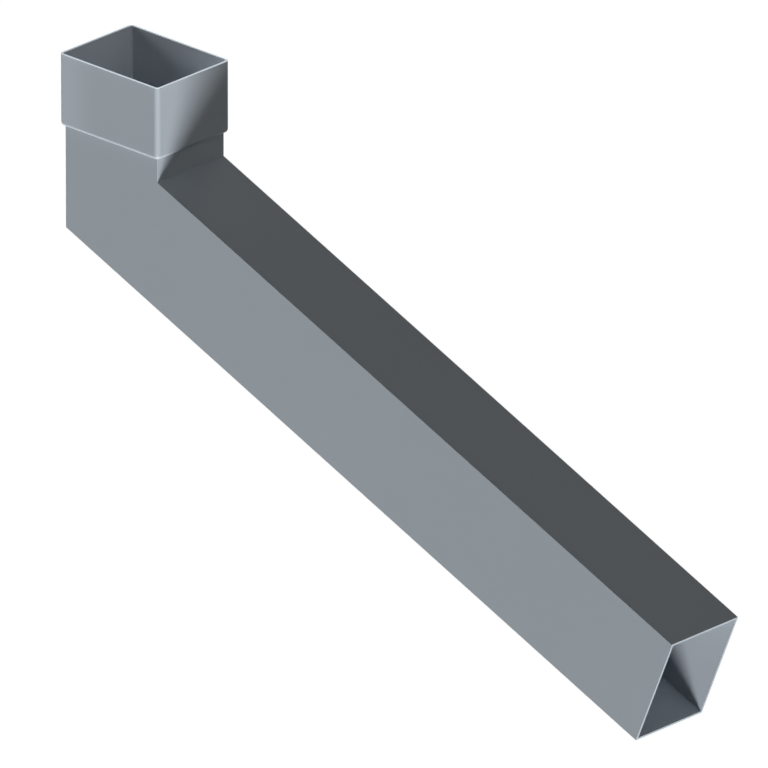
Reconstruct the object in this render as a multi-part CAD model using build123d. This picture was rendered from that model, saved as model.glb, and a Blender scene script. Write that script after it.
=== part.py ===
from build123d import *
import os
from math import cos, radians, sin, tan

# Elbow for a rectangular downpipe: a short upright inlet with a widened socket, one mitred bend,
# and a long sloping leg with a plain, square-cut outlet. The whole of it is one continuous wall.
#
# Frame, in millimetres: the origin is the middle of the socket's mouth and +Z points up out of it.
# The bend lies in the XZ plane, and the leg falls away towards +X.

# Driving dimensions of the pipe
PIPE_WIDTH = 100.0  # outside, across X, in the plane of the bend
PIPE_DEPTH = 75.0  # outside, across Y
WALL = 2.0  # the same all over
PIPE_EDGE_RADIUS = 0.4  # outside, on the pipe's four long edges

# Driving dimensions of the socket
SOCKET_GAP = 1.5  # clearance on each side of the pipe that is pushed in
SOCKET_DEPTH = 59.0  # from the mouth down to the ledge that the pipe stops on
SOCKET_CORNER_RADIUS = 4.0  # outside, on the four upright corners

# Driving dimensions of the bend
BEND_ANGLE = 67.5  # how far the leg turns away from straight down, in degrees
NECK = 20.0  # straight pipe from the underside of the socket to the inner corner of the bend
LEG_LENGTH = 631.0  # along the leg's centreline, from the middle of the mitre to the outlet

# How far the water way's cutting form runs out past each open end
OVERRUN = 5.0

# The socket stands out from the pipe by its gap and its own wall
socket_step = SOCKET_GAP + WALL

# Heights and places along the centreline
socket_bottom = -(SOCKET_DEPTH + WALL)
mitre_rise = PIPE_WIDTH / 2 * tan(radians(BEND_ANGLE / 2))
mitre_centre = Vector(0, 0, socket_bottom - NECK - mitre_rise)
leg_direction = Vector(sin(radians(BEND_ANGLE)), 0, -cos(radians(BEND_ANGLE)))


def rounded_section(width, depth, radius):
    """A flat rectangle with its corners rounded, or left sharp where no radius remains."""
    if radius > 0:
        return RectangleRounded(width, depth, radius)
    return Rectangle(width, depth)


def bent_pipe(inset, overrun):
    """The pipe as a solid bar, from the top of the socket's shoulder round the mitre to the outlet.

    The sides lie inset from the pipe's outer skin. The two stretches meet in the plane that halves
    the bend, so the wall is as thick at the corner as it is elsewhere.
    """
    section = rounded_section(
        PIPE_WIDTH - 2 * inset,
        PIPE_DEPTH - 2 * inset,
        PIPE_EDGE_RADIUS - inset,
    )
    top = Vector(0, 0, socket_bottom + socket_step)
    outlet = mitre_centre + leg_direction * (LEG_LENGTH + overrun)
    centreline = Polyline(top, mitre_centre, outlet)
    start = Plane(origin=top, x_dir=(1, 0, 0), z_dir=(0, 0, -1))
    return sweep(start * section, path=centreline, transition=Transition.RIGHT)


def socket_block(inset, overrun):
    """The socket as a solid block, with a quarter-round shoulder where it comes in to the pipe."""
    section = rounded_section(
        PIPE_WIDTH + 2 * (socket_step - inset),
        PIPE_DEPTH + 2 * (socket_step - inset),
        SOCKET_CORNER_RADIUS - inset,
    )
    underside = socket_bottom + inset
    block = Pos(0, 0, underside) * extrude(section, overrun - underside)
    return fillet(block.edges().group_by(Axis.Z)[0], socket_step - inset)


def form(inset, overrun):
    """The whole elbow as a solid form, its skin lying inset from the outside of the wall."""
    return bent_pipe(inset, overrun) + socket_block(inset, overrun)


elbow = form(0, 0) - form(WALL, OVERRUN)
elbow.label = "elbow"

os.makedirs("parts", exist_ok=True)
export_step(elbow, "parts/elbow.step")
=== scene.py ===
from math import cos, radians, sin

import bpy
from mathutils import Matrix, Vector


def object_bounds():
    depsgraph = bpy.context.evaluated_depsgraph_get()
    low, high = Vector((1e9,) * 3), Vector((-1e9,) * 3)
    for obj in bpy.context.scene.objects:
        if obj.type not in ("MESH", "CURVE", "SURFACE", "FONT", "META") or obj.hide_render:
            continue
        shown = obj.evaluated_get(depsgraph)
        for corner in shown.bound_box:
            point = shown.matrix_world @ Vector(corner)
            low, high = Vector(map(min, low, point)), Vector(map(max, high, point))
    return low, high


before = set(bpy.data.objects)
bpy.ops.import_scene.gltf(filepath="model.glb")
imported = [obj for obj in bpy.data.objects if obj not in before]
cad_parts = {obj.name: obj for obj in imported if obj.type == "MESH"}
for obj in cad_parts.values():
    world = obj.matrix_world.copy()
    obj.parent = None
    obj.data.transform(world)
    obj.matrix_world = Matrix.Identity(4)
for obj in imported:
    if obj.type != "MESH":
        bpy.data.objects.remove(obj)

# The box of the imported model, kept before anything is added to it
cad_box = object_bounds()

bl_info = {
    "name": "Downspout elbow",
    "version": (1, 0, 0),
    "blender": (4, 5, 0),
    "location": "3D View > Sidebar > Elbow",
    "description": "Finishes a rectangular downpipe elbow and sets its studio",
    "category": "Object",
}

MILLIMETRE = 0.001

# The elbow in its frame: the mouth lies in the plane z = 0, and the leg falls in the XZ plane towards +X
BEND_ANGLE = radians(67.5)  # how far the leg turns away from straight down
SHOULDER_TOP = -57.5 * MILLIMETRE  # where the flat sides of the socket end
MITRE_CENTRE = Vector((0.0, 0.0, -114.4 * MILLIMETRE))  # where the centrelines of neck and leg meet
PAINTED_LIGHT_END = -10 * MILLIMETRE  # how far across the socket the painted light on its side away from the leg reaches
leg_direction = Vector((sin(BEND_ANGLE), 0.0, -cos(BEND_ANGLE)))

# Half the socket's width and depth outside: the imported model's box ends at the socket on these sides
socket_half_width = -cad_box[0][0]
socket_half_depth = cad_box[1][1]

# How far the outlet's sawn end lies from the origin, measured in the leg's direction
elbow_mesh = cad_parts["elbow"].data
outlet_reach = max(corner.co.dot(leg_direction) for corner in elbow_mesh.vertices)

# Where the lamps stand: degrees round from the front, degrees up from level, and how wide they look
KEY_PLACE = (52.5, -54.1, 26.3)
FILL_PLACE = (100, 45, 90)
BACK_PLACE = (260, 13, 20)
LOW_MOUTH_PLACE = (272, 18, 26)
SOFT_MOUTH_PLACE = (60, 40, 60)

SENSOR_WIDTH = 36.0  # the camera's own setting, which counts in millimetres
FLOOR_WIDTH = 200.0  # in metres, so that the floor reaches past every picture's edge
FLOOR_GLOW = 0.8  # added to what the lamps give the floor, where it is looked at, so that it shows white
CARD_REACH = 3.0  # in metres, so that the card shades the whole leg from a lamp that stands low
CARD_GAP = 1 * MILLIMETRE  # from the socket's outside to the edge of the card's window
CARD_HEIGHT = 1.5 * MILLIMETRE  # above the mouth


def linear(hex_colour):
    """An sRGB colour written as six hex digits, as the linear colour that a shader takes."""
    channels = [int(hex_colour[i : i + 2], 16) / 255 for i in (0, 2, 4)]
    return [c / 12.92 if c <= 0.04045 else ((c + 0.055) / 1.055) ** 2.4 for c in channels]


def add_node(tree, kind, settings=None, links=None):
    """Adds one node: its settings are attributes or input values, its links run from other outputs."""
    node = tree.nodes.new(kind)
    for name, value in (settings or {}).items():
        if isinstance(name, int) or name in node.inputs:
            node.inputs[name].default_value = value
        else:
            setattr(node, name, value)
    for name, output in (links or {}).items():
        tree.links.new(output, node.inputs[name])
    return node


def fresh_material(name):
    """An empty node material, and its tree."""
    material = bpy.data.materials.new(name)
    material.use_nodes = True
    material.node_tree.nodes.clear()
    return material, material.node_tree


def sawn_end_masks(tree, position, edge_width):
    """1 on the mouth's sawn end, and 1 on the outlet's, each with the hair of wall beside it."""
    height = add_node(tree, "ShaderNodeSeparateXYZ", links={"Vector": position})
    at_mouth = add_node(tree, "ShaderNodeMath", {"operation": "GREATER_THAN", 1: -edge_width}, {
        0: height.outputs["Z"],
    })
    reach = add_node(tree, "ShaderNodeVectorMath", {"operation": "DOT_PRODUCT", 1: leg_direction}, {
        0: position,
    })
    at_outlet = add_node(tree, "ShaderNodeMath", {
        "operation": "GREATER_THAN",
        1: outlet_reach - edge_width,
    }, {0: reach.outputs["Value"]})
    return at_mouth.outputs["Value"], at_outlet.outputs["Value"]


def water_way_mask(tree, coordinates):
    """1 on the inside of the tube, whose skin faces the centreline, and 0 on the outside.

    The mitre's centre lies on the centreline of both stretches, so one point serves for the two.
    """
    outwards = add_node(tree, "ShaderNodeVectorMath", {"operation": "SUBTRACT", 1: MITRE_CENTRE}, {
        0: coordinates.outputs["Object"],
    })
    facing = add_node(tree, "ShaderNodeVectorMath", {"operation": "DOT_PRODUCT"}, {
        0: outwards.outputs["Vector"],
        1: coordinates.outputs["Normal"],
    })
    inside = add_node(tree, "ShaderNodeMath", {"operation": "LESS_THAN", 1: 0.0}, {
        0: facing.outputs["Value"],
    })
    return inside.outputs["Value"]


def powder_coat(finish):
    """Aluminium under a stoved polyester powder coat.

    The charged powder is sprayed on dry and melts in the oven, so it levels almost flat: a satin skin
    with a faint orange peel. The socket's side away from the leg and its front are painted lighter, as
    painted light. The inside of the tube is painted lighter and bluer, as painted light from bounces
    inside it. The two ends are sawn through the coat and show bare metal; the mouth's is painted lighter
    than the outlet's, a painted highlight on its rim.
    """
    material, tree = fresh_material("polyester_powder_coat")
    coordinates = add_node(tree, "ShaderNodeTexCoord")
    position = coordinates.outputs["Object"]
    place = add_node(tree, "ShaderNodeSeparateXYZ", links={"Vector": position})

    # Clouds a hand's breadth across, where the film is thicker or thinner
    clouds = add_node(tree, "ShaderNodeTexNoise", {
        "Scale": 1 / finish.cloud_width,
        "Detail": 2.0,
        "Roughness": 0.5,
    }, {"Vector": position})
    shade = [channel * (1 - finish.cloud_contrast) for channel in finish.coat_colour]
    light = [channel * (1 + finish.cloud_contrast) for channel in finish.coat_colour]
    coat = add_node(tree, "ShaderNodeMix", {
        "data_type": "RGBA",
        6: (*shade, 1.0),
        7: (*light, 1.0),
    }, {0: clouds.outputs["Fac"]})

    # Pigment grain, really about 0.05 mm across, drawn ten times as coarse so that it shows at all.
    # The noise hardly leaves 0.3 to 0.7, so that range is stretched over the whole contrast.
    grain = add_node(tree, "ShaderNodeTexNoise", {
        "Scale": 1 / finish.grain_width,
        "Detail": 1.0,
    }, {"Vector": position})
    speckle = add_node(tree, "ShaderNodeMapRange", {
        "From Min": 0.3,
        "From Max": 0.7,
        "To Min": 1 - finish.grain_contrast,
        "To Max": 1 + finish.grain_contrast,
    }, {"Value": grain.outputs["Fac"]})
    speckled = add_node(tree, "ShaderNodeVectorMath", {"operation": "SCALE"}, {
        0: coat.outputs[2],
        "Scale": speckle.outputs["Result"],
    })

    # Painted light: the socket is drawn lighter towards its side away from the leg and on its front,
    # fading out across it and stopping at its shoulder
    across = add_node(tree, "ShaderNodeMapRange", {
        "interpolation_type": "SMOOTHSTEP",
        "From Min": -socket_half_width,
        "From Max": PAINTED_LIGHT_END,
        "To Min": 1 + finish.side_painted_light,
        "To Max": 1.0,
    }, {"Value": place.outputs["X"]})
    facing = add_node(tree, "ShaderNodeSeparateXYZ", links={"Vector": coordinates.outputs["Normal"]})
    front = add_node(tree, "ShaderNodeMapRange", {
        "From Min": -1.0,
        "From Max": 0.0,
        "To Min": 1 + finish.front_painted_light,
        "To Max": 1.0,
    }, {"Value": facing.outputs["Y"]})
    painted_light_factor = add_node(tree, "ShaderNodeMath", {"operation": "MULTIPLY"}, {
        0: across.outputs["Result"],
        1: front.outputs["Result"],
    })
    on_socket = add_node(tree, "ShaderNodeMath", {"operation": "GREATER_THAN", 1: SHOULDER_TOP}, {
        0: place.outputs["Z"],
    })
    painted_lighter = add_node(tree, "ShaderNodeVectorMath", {"operation": "SCALE"}, {
        0: speckled.outputs["Vector"],
        "Scale": painted_light_factor.outputs["Value"],
    })
    outside = add_node(tree, "ShaderNodeMix", {"data_type": "RGBA"}, {
        0: on_socket.outputs["Value"],
        6: speckled.outputs["Vector"],
        7: painted_lighter.outputs["Vector"],
    })

    # Painted light: the inside of the tube is drawn lighter and bluer than the coat outside, standing in
    # for the light that bounces inside it
    inside = water_way_mask(tree, coordinates)
    both_sides = add_node(tree, "ShaderNodeMix", {
        "data_type": "RGBA",
        7: (*finish.inside_painted_light_colour, 1.0),
    }, {0: inside, 6: outside.outputs[2]})

    # Both sawn ends are bare metal. The mouth's is painted lighter than the outlet's: a painted highlight
    # on its rim.
    at_mouth, at_outlet = sawn_end_masks(tree, position, finish.edge_width)
    mouth_highlighted = add_node(tree, "ShaderNodeMix", {
        "data_type": "RGBA",
        7: (*finish.mouth_edge_highlight_colour, 1.0),
    }, {0: at_mouth, 6: both_sides.outputs[2]})
    colour = add_node(tree, "ShaderNodeMix", {
        "data_type": "RGBA",
        7: (*finish.outlet_edge_colour, 1.0),
    }, {0: at_outlet, 6: mouth_highlighted.outputs[2]})
    bare = add_node(tree, "ShaderNodeMath", {"operation": "MAXIMUM"}, {0: at_mouth, 1: at_outlet})

    # Orange peel, the waves that stay when the melted powder levels
    peel = add_node(tree, "ShaderNodeTexNoise", {
        "Scale": 1 / finish.peel_width,
        "Detail": 1.0,
    }, {"Vector": position})
    waves = add_node(tree, "ShaderNodeBump", {"Strength": 1.0, "Distance": finish.peel_depth}, {
        "Height": peel.outputs["Fac"],
    })
    gloss = add_node(tree, "ShaderNodeMapRange", {
        "To Min": finish.coat_roughness - finish.roughness_spread,
        "To Max": finish.coat_roughness + finish.roughness_spread,
    }, {"Value": clouds.outputs["Fac"]})
    shader = add_node(tree, "ShaderNodeBsdfPrincipled", {
        "Specular IOR Level": finish.coat_specular,
    }, {
        "Base Color": colour.outputs[2],
        "Metallic": bare.outputs["Value"],
        "Roughness": gloss.outputs["Result"],
        "Normal": waves.outputs["Normal"],
    })
    add_node(tree, "ShaderNodeOutputMaterial", links={"Surface": shader.outputs["BSDF"]})
    return material


class ElbowFinish(bpy.types.PropertyGroup):
    """Colours and surface of the elbow."""

    coat_colour: bpy.props.FloatVectorProperty(
        name="Coat colour",
        description="Colour of the powder coat",
        subtype="COLOR",
        size=3,
        min=0.0,
        max=1.0,
        default=linear("a0a8af"),
    )
    coat_roughness: bpy.props.FloatProperty(
        name="Coat roughness",
        description="How widely the satin coat spreads a highlight",
        subtype="FACTOR",
        min=0.0,
        max=1.0,
        default=0.5,
    )
    roughness_spread: bpy.props.FloatProperty(
        name="Roughness spread",
        description="How far the roughness wanders from place to place",
        subtype="FACTOR",
        min=0.0,
        max=0.5,
        default=0.05,
    )
    coat_specular: bpy.props.FloatProperty(
        name="Coat specular",
        description="Strength of the coat's own reflection",
        subtype="FACTOR",
        min=0.0,
        max=1.0,
        default=0.25,
    )
    cloud_width: bpy.props.FloatProperty(
        name="Cloud width",
        description="Width of the patches where the film is thicker or thinner",
        unit="LENGTH",
        default=80 * MILLIMETRE,
    )
    cloud_contrast: bpy.props.FloatProperty(
        name="Cloud contrast",
        description="How much lighter or darker those patches are",
        subtype="FACTOR",
        min=0.0,
        max=1.0,
        default=0.02,
    )
    grain_width: bpy.props.FloatProperty(
        name="Grain width",
        description="Width of the pigment grain as drawn",
        unit="LENGTH",
        default=0.5 * MILLIMETRE,
    )
    grain_contrast: bpy.props.FloatProperty(
        name="Grain contrast",
        description="How much lighter or darker a grain is",
        subtype="FACTOR",
        min=0.0,
        max=1.0,
        default=0.03,
    )
    peel_width: bpy.props.FloatProperty(
        name="Orange peel width",
        description="Width of the waves in the coat",
        unit="LENGTH",
        default=2.5 * MILLIMETRE,
    )
    peel_depth: bpy.props.FloatProperty(
        name="Orange peel depth",
        description="Depth of the waves in the coat",
        unit="LENGTH",
        precision=6,
        default=0.01 * MILLIMETRE,
    )
    # Painted light: how much lighter the socket's side away from the leg is drawn
    side_painted_light: bpy.props.FloatProperty(
        name="Side film",
        description="How much lighter the thicker film is on the socket's side away from the leg",
        subtype="FACTOR",
        min=0.0,
        max=1.0,
        default=0.18,
    )
    # Painted light: how much lighter the socket's front is drawn
    front_painted_light: bpy.props.FloatProperty(
        name="Front film",
        description="How much lighter the thicker film is on the socket's front",
        subtype="FACTOR",
        min=0.0,
        max=1.0,
        default=0.05,
    )
    # Painted light: the inside is drawn lighter and bluer than the coat outside
    inside_painted_light_colour: bpy.props.FloatVectorProperty(
        name="Inside colour",
        description="Colour of the thin coat inside the tube",
        subtype="COLOR",
        size=3,
        min=0.0,
        max=1.0,
        default=linear("a6adb4"),
    )
    # Painted highlight: the mouth's bare edge is drawn lighter than the outlet's
    mouth_edge_highlight_colour: bpy.props.FloatVectorProperty(
        name="Mouth edge colour",
        description="Colour of the bare aluminium round the mouth",
        subtype="COLOR",
        size=3,
        min=0.0,
        max=1.0,
        default=linear("acb4bb"),
    )
    outlet_edge_colour: bpy.props.FloatVectorProperty(
        name="Outlet edge colour",
        description="Colour of the bare aluminium round the outlet",
        subtype="COLOR",
        size=3,
        min=0.0,
        max=1.0,
        default=linear("9fa7ae"),
    )
    edge_width: bpy.props.FloatProperty(
        name="Sawn edge width",
        description="How far the bare metal reaches from a sawn end along the wall",
        unit="LENGTH",
        precision=5,
        default=0.2 * MILLIMETRE,
    )


class StudioSettings(bpy.types.PropertyGroup):
    """Camera, lamps and floor of the studio."""

    azimuth: bpy.props.FloatProperty(
        name="Azimuth",
        description="How far the camera stands round from the front",
        subtype="ANGLE",
        default=radians(43.551),
    )
    elevation: bpy.props.FloatProperty(
        name="Elevation",
        description="How far the camera looks down",
        subtype="ANGLE",
        default=radians(23.055),
    )
    lens: bpy.props.FloatProperty(
        name="Lens",
        description="Focal length, long enough that parallel edges stay parallel",
        unit="CAMERA",
        default=1700.0,
    )
    frame_width: bpy.props.FloatProperty(
        name="Frame width",
        description="Width of the picture at the elbow",
        unit="LENGTH",
        default=598.96 * MILLIMETRE,
    )
    aim: bpy.props.FloatVectorProperty(
        name="Aim",
        description="Point in the middle of the picture",
        subtype="XYZ",
        unit="LENGTH",
        size=3,
        default=(258.62 * MILLIMETRE, 0.0, -202.44 * MILLIMETRE),
    )
    key_strength: bpy.props.FloatProperty(
        name="Key light",
        description="Strength of the lamp in front, low down on the right",
        default=5.78,
    )
    fill_strength: bpy.props.FloatProperty(
        name="Fill light",
        description="Strength of the broad lamp on the right",
        default=0.455,
    )
    back_strength: bpy.props.FloatProperty(
        name="Back light",
        description="Strength of the lamp behind on the left",
        default=4.0,
    )
    low_strength: bpy.props.FloatProperty(
        name="Low mouth light",
        description="Strength of the low lamp on the left that only the mouth sees",
        default=5.5,
    )
    soft_strength: bpy.props.FloatProperty(
        name="Soft mouth light",
        description="Strength of the broad lamp on the right that only the mouth sees",
        default=0.416,
    )
    floor_drop: bpy.props.FloatProperty(
        name="Floor drop",
        description="How far the floor lies below the elbow's lowest corner",
        unit="LENGTH",
        default=1.0,
    )


class ELBOW_OT_finish(bpy.types.Operator):
    """Give the elbow its powder coat"""

    bl_idname = "elbow.finish"
    bl_label = "Finish the elbow"

    def execute(self, context):
        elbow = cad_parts["elbow"]
        material = powder_coat(context.scene.elbow_finish)
        for surface in elbow.material_slots:
            surface.material = material
        return {"FINISHED"}


def towards(azimuth, elevation):
    """The direction from the elbow to what stands that far round from the front and up from level."""
    return Vector((sin(azimuth) * cos(elevation), -cos(azimuth) * cos(elevation), sin(elevation)))


def add_lamp(name, place, strength):
    """A lamp far away, as wide as a softbox in that place looks from the elbow."""
    azimuth, elevation, spread = (radians(angle) for angle in place)
    lamp = bpy.data.lights.new(name, "SUN")
    lamp.energy = strength
    lamp.angle = spread
    holder = bpy.data.objects.new(name, lamp)
    holder.rotation_euler = towards(azimuth, elevation).to_track_quat("Z", "Y").to_euler()
    bpy.context.scene.collection.objects.link(holder)
    return holder


def all_but(pieces):
    """A collection that stands for every object but these, for a lamp's light and shadow."""
    spared = bpy.data.collections.new(f"all_but_{pieces[0].name}")
    for number, piece in enumerate(pieces):
        spared.objects.link(piece)
        spared.collection_objects[number].light_linking.link_state = "EXCLUDE"
    return spared


def add_camera(studio):
    """A camera at the picture's angle, far off behind a very long lens."""
    data = bpy.data.cameras.new("camera")
    data.lens = studio.lens
    data.sensor_width = SENSOR_WIDTH
    distance = studio.frame_width * data.lens / data.sensor_width
    back = towards(studio.azimuth, studio.elevation)
    camera = bpy.data.objects.new("camera", data)
    camera.location = Vector(studio.aim) + back * distance
    camera.rotation_euler = back.to_track_quat("Z", "Y").to_euler()
    bpy.context.scene.collection.objects.link(camera)
    bpy.context.scene.camera = camera


def looked_at(tree):
    """1 for the rays by which a place is seen, straight or in a reflection, and 0 for its light."""
    path = add_node(tree, "ShaderNodeLightPath")
    direct = add_node(tree, "ShaderNodeMath", {"operation": "MAXIMUM"}, {
        0: path.outputs["Is Camera Ray"],
        1: path.outputs["Is Glossy Ray"],
    })
    seen = add_node(tree, "ShaderNodeMath", {"operation": "MAXIMUM"}, {
        0: direct.outputs["Value"],
        1: path.outputs["Is Transmission Ray"],
    })
    return seen.outputs["Value"]


def white_world():
    """A white backdrop all round, which gives the elbow no light of its own."""
    world = bpy.data.worlds.new("studio")
    bpy.context.scene.world = world
    world.use_nodes = True
    tree = world.node_tree
    tree.nodes.clear()
    background = add_node(tree, "ShaderNodeBackground", {"Color": (1.0, 1.0, 1.0, 1.0)}, {
        "Strength": looked_at(tree),
    })
    add_node(tree, "ShaderNodeOutputWorld", links={"Surface": background.outputs["Background"]})


def floor_paper():
    """Matt white background paper, bright enough to show white where no shadow falls."""
    material, tree = fresh_material("background_paper")
    paper = add_node(tree, "ShaderNodeBsdfDiffuse", {"Color": (*linear("f0f0ee"), 1.0), "Roughness": 0.6})
    glow = add_node(tree, "ShaderNodeMath", {"operation": "MULTIPLY", 1: FLOOR_GLOW}, {0: looked_at(tree)})
    lit = add_node(tree, "ShaderNodeEmission", links={"Strength": glow.outputs["Value"]})
    both = add_node(tree, "ShaderNodeAddShader", links={
        0: paper.outputs["BSDF"],
        1: lit.outputs["Emission"],
    })
    # Seen from below it isn't there, so that the elbow's underside can be looked at
    underneath = add_node(tree, "ShaderNodeNewGeometry").outputs["Backfacing"]
    clear = add_node(tree, "ShaderNodeBsdfTransparent")
    one_sided = add_node(tree, "ShaderNodeMixShader", links={
        0: underneath,
        1: both.outputs["Shader"],
        2: clear.outputs["BSDF"],
    })
    add_node(tree, "ShaderNodeOutputMaterial", links={"Surface": one_sided.outputs["Shader"]})
    return material


def add_sheet(name, width, depth, middle):
    """A level sheet for the studio: so wide across X, so deep across Y."""
    bpy.ops.object.select_all(action="DESELECT")
    bpy.ops.mesh.primitive_plane_add(size=1.0, location=middle)
    sheet = bpy.context.object
    sheet.name = name
    sheet.scale = (width, depth, 1.0)
    bpy.ops.object.transform_apply(location=True, rotation=True, scale=True)
    return sheet


def add_floor(studio):
    """A wide pale floor. It takes shadows and casts none, so the key light reaches up past it."""
    lowest = cad_box[0][2]
    middle = (0.0, 0.0, lowest - studio.floor_drop)
    floor = add_sheet("studio_floor", FLOOR_WIDTH, FLOOR_WIDTH, middle)
    floor.data.materials.append(floor_paper())
    floor.visible_shadow = False
    floor.visible_diffuse = False
    return floor


def add_window():
    """A card just over the mouth, with a window that leaves the mouth open: four sheets round it.

    It keeps the mouth's two lamps off all but the mouth, and no camera sees it.
    """
    half_width = socket_half_width + CARD_GAP
    half_depth = socket_half_depth + CARD_GAP
    full_depth = 2 * (half_depth + CARD_REACH)
    card = []
    for side in (-1, 1):
        beside = (side * (half_width + CARD_REACH / 2), 0.0, CARD_HEIGHT)
        before = (0.0, side * (half_depth + CARD_REACH / 2), CARD_HEIGHT)
        card.append(add_sheet("studio_card", CARD_REACH, full_depth, beside))
        card.append(add_sheet("studio_card", 2 * half_width, CARD_REACH, before))
    for sheet in card:
        sheet.visible_camera = False
        sheet.visible_diffuse = False
        sheet.visible_glossy = False
        sheet.visible_transmission = False
    return card


class ELBOW_OT_stage(bpy.types.Operator):
    """Set the floor, the lamps and the camera"""

    bl_idname = "elbow.stage"
    bl_label = "Set the studio"

    def execute(self, context):
        studio = context.scene.elbow_studio
        add_camera(studio)
        white_world()
        floor = add_floor(studio)
        card = add_window()
        key = add_lamp("key_light", KEY_PLACE, studio.key_strength)
        fill = add_lamp("fill_light", FILL_PLACE, studio.fill_strength)
        back = add_lamp("back_light", BACK_PLACE, studio.back_strength)
        low = add_lamp("low_mouth_light", LOW_MOUTH_PLACE, studio.low_strength)
        soft = add_lamp("soft_mouth_light", SOFT_MOUTH_PLACE, studio.soft_strength)
        # The card stands in the way of the mouth's two lamps alone, and those two leave the floor dark
        past_the_card = all_but(card)
        for lamp in (key, fill, back):
            lamp.light_linking.blocker_collection = past_the_card
        off_the_floor = all_but([floor])
        for lamp in (low, soft):
            lamp.light_linking.receiver_collection = off_the_floor
            # Only shadow rays meet the card, so no other kind of ray may find these two lamps
            lamp.data.cycles.use_multiple_importance_sampling = False
        context.scene.view_settings.view_transform = "Standard"
        return {"FINISHED"}


class ELBOW_PT_panel(bpy.types.Panel):
    """The elbow's settings and steps"""

    bl_idname = "ELBOW_PT_panel"
    bl_label = "Downspout elbow"
    bl_space_type = "VIEW_3D"
    bl_region_type = "UI"
    bl_category = "Elbow"

    def draw(self, context):
        layout = self.layout
        for settings in (context.scene.elbow_finish, context.scene.elbow_studio):
            column = layout.column()
            for name in settings.__annotations__:
                column.prop(settings, name)
        layout.operator(ELBOW_OT_finish.bl_idname)
        layout.operator(ELBOW_OT_stage.bl_idname)


CLASSES = (ElbowFinish, StudioSettings, ELBOW_OT_finish, ELBOW_OT_stage, ELBOW_PT_panel)


def register():
    """Adds the classes and the scene's settings."""
    for kind in CLASSES:
        bpy.utils.register_class(kind)
    bpy.types.Scene.elbow_finish = bpy.props.PointerProperty(type=ElbowFinish)
    bpy.types.Scene.elbow_studio = bpy.props.PointerProperty(type=StudioSettings)


def unregister():
    """Takes them away again."""
    del bpy.types.Scene.elbow_studio
    del bpy.types.Scene.elbow_finish
    for kind in reversed(CLASSES):
        bpy.utils.unregister_class(kind)


def main():
    """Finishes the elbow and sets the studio."""
    register()
    bpy.ops.elbow.finish()
    bpy.ops.elbow.stage()


if __name__ == "__main__":
    main()
